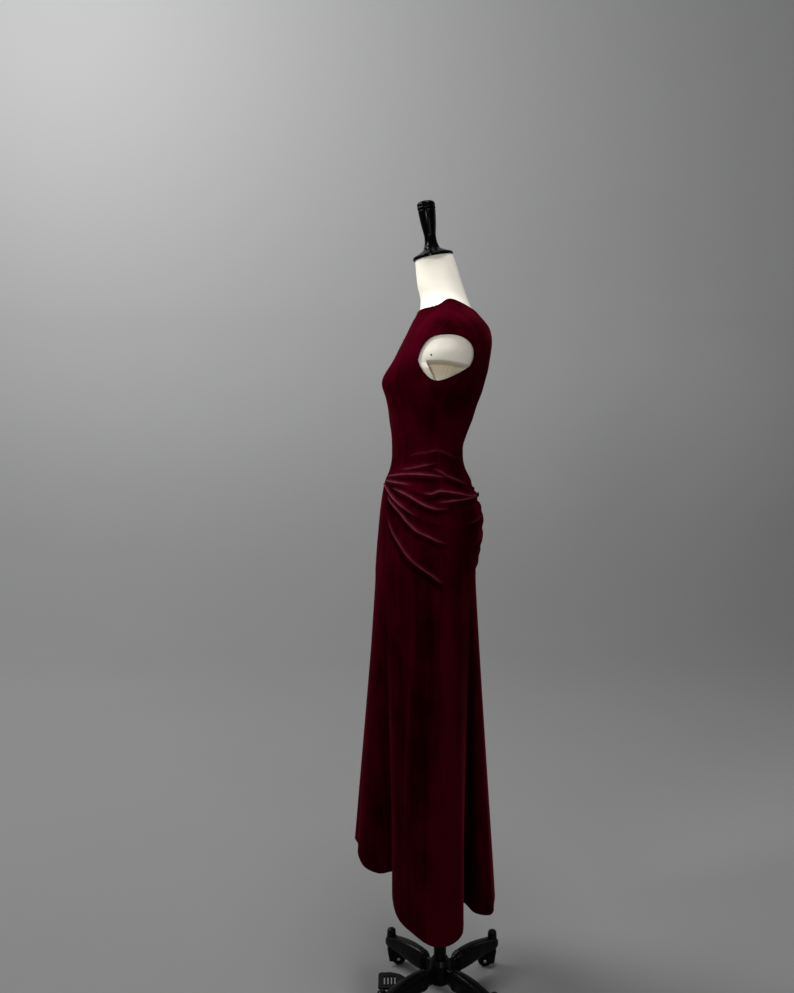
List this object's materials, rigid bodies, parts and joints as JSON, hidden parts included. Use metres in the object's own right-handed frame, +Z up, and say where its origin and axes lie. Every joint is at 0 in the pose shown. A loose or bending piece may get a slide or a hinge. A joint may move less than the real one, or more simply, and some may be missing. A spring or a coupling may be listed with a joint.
{
  "type": "bustle dress on a dress form with a caster stand",
  "caption": "Long velvet dress with cap sleeves and a gathered hip swag, worn by a plain dress form on a rolling stand with a height pole and a foot pedal.",
  "frame": {"origin": "on the floor, under the middle of the outline seen from above; the pole stands 29.6 mm behind it", "axes": "+Z up; the dress faces -Y, so its wearer's left is +X"},
  "size_m": [0.5932, 0.3674, 2.0151],
  "materials": {
    "wine_velvet": "soft pile velvet",
    "ivory_cover": "smooth fitted cover",
    "black_enamel": "gloss",
    "wheel_rubber": "satin",
    "pole_steel": "satin"
  },
  "bodies": {
    "stand_base": {"tube": "black_enamel", "base_hub": "black_enamel", "leg_front_left": "black_enamel", "leg_back_left": "black_enamel", "leg_back_right": "black_enamel", "leg_front_right": "black_enamel"},
    "dressed_form": {"form_torso": "ivory_cover", "neck_plate": "black_enamel", "neck_handle": "black_enamel", "pole_collar": "black_enamel", "pole": "pole_steel", "bodice_front": "wine_velvet", "bodice_back": "wine_velvet", "skirt_front": "wine_velvet", "skirt_side_left": "wine_velvet", "skirt_side_right": "wine_velvet", "skirt_back_left": "wine_velvet", "skirt_back_right": "wine_velvet", "bustle_button": "wine_velvet"},
    "foot_pedal": {"pedal": "black_enamel"},
    "caster_front_left": {"fork_front_left": "black_enamel"},
    "caster_back_left": {"fork_back_left": "black_enamel"},
    "caster_back_right": {"fork_back_right": "black_enamel"},
    "caster_front_right": {"fork_front_right": "black_enamel"},
    "caster_wheel_front_left": {"wheel_front_left": "wheel_rubber"},
    "caster_wheel_back_left": {"wheel_back_left": "wheel_rubber"},
    "caster_wheel_back_right": {"wheel_back_right": "wheel_rubber"},
    "caster_wheel_front_right": {"wheel_front_right": "wheel_rubber"}
  },
  "joints": [
    {"name": "height_slide", "type": "slide", "parent": "stand_base", "child": "dressed_form", "axis": [0, 0, 1], "range_m": [-0.1, 0.12]},
    {"name": "pedal_press", "type": "hinge", "parent": "stand_base", "child": "foot_pedal", "pos_m": [0, -0.0004, 0.046], "axis": [1, 0, 0], "range_deg": [0, 9], "stiffness_Nm_per_rad": 3, "springref_deg": -20.05},
    {"name": "swivel_front_left", "type": "hinge", "parent": "stand_base", "child": "caster_front_left", "pos_m": [0.13299, -0.11301, 0.045], "axis": [0, 0, 1], "continuous": true},
    {"name": "roll_front_left", "type": "hinge", "parent": "caster_front_left", "child": "caster_wheel_front_left", "pos_m": [0.13299, -0.09301, 0.019], "axis": [1, 0, 0], "continuous": true},
    {"name": "swivel_back_left", "type": "hinge", "parent": "stand_base", "child": "caster_back_left", "pos_m": [0.14261, 0.16259, 0.045], "axis": [0, 0, 1], "continuous": true},
    {"name": "roll_back_left", "type": "hinge", "parent": "caster_back_left", "child": "caster_wheel_back_left", "pos_m": [0.14261, 0.14259, 0.019], "axis": [1, 0, 0], "continuous": true},
    {"name": "swivel_back_right", "type": "hinge", "parent": "stand_base", "child": "caster_back_right", "pos_m": [-0.13299, 0.17221, 0.045], "axis": [0, 0, 1], "continuous": true},
    {"name": "roll_back_right", "type": "hinge", "parent": "caster_back_right", "child": "caster_wheel_back_right", "pos_m": [-0.13299, 0.15221, 0.019], "axis": [1, 0, 0], "continuous": true},
    {"name": "swivel_front_right", "type": "hinge", "parent": "stand_base", "child": "caster_front_right", "pos_m": [-0.14261, -0.10339, 0.045], "axis": [0, 0, 1], "continuous": true},
    {"name": "roll_front_right", "type": "hinge", "parent": "caster_front_right", "child": "caster_wheel_front_right", "pos_m": [-0.14261, -0.08339, 0.019], "axis": [1, 0, 0], "continuous": true}
  ]
}
